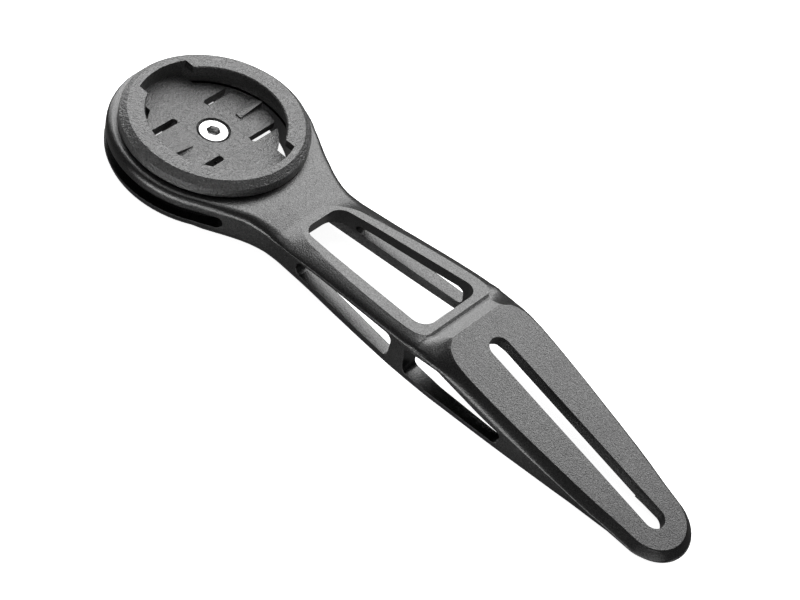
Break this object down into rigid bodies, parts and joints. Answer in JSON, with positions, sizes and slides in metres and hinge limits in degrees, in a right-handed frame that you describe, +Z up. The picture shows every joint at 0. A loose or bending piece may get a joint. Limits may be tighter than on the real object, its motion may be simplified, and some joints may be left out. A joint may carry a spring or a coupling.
{
  "type": "cycling computer out-front mount",
  "caption": "Black machined arm with a quarter-turn socket on its round head, a windowed neck and a slotted tail pad, for holding a cycling computer ahead of a handlebar.",
  "frame": {"origin": "centre of the bounding box, at the height of the surface that the part rests on", "axes": "+X from the round head along the arm to the slotted tail, +Y to the left of the arm, +Z up out of the socket's mouth (the socket's axis leans 1.6 degrees from +Z, towards -X, because the part rests on its head's front edge and its tail's tip)"},
  "size_m": [0.1402, 0.0406, 0.0133],
  "materials": {
    "arm_black_anodised": "bead-blasted and black anodised",
    "socket_nylon": "black glass-filled nylon with a fine moulded texture",
    "screw_steel": "bright zinc-plated steel"
  },
  "bodies": {
    "mount": {"arm": "arm_black_anodised", "socket_body": "socket_nylon", "clamp_screw": "screw_steel", "captive_nut": "screw_steel"},
    "left_tongue": {"detent_tongue_left": "socket_nylon"},
    "right_tongue": {"detent_tongue_right": "socket_nylon"}
  },
  "joints": [
    {"name": "left_tongue_flex", "type": "hinge", "parent": "mount", "child": "left_tongue", "pos_m": [-0.04981, 0.0041, 0.00655], "axis": [-0.9996, 0, -0.0286], "range_deg": [0, 5], "stiffness_Nm_per_rad": 0.22},
    {"name": "right_tongue_flex", "type": "hinge", "parent": "mount", "child": "right_tongue", "pos_m": [-0.04981, -0.0041, 0.00655], "axis": [0.9996, 0, 0.0286], "range_deg": [0, 5], "stiffness_Nm_per_rad": 0.22}
  ]
}
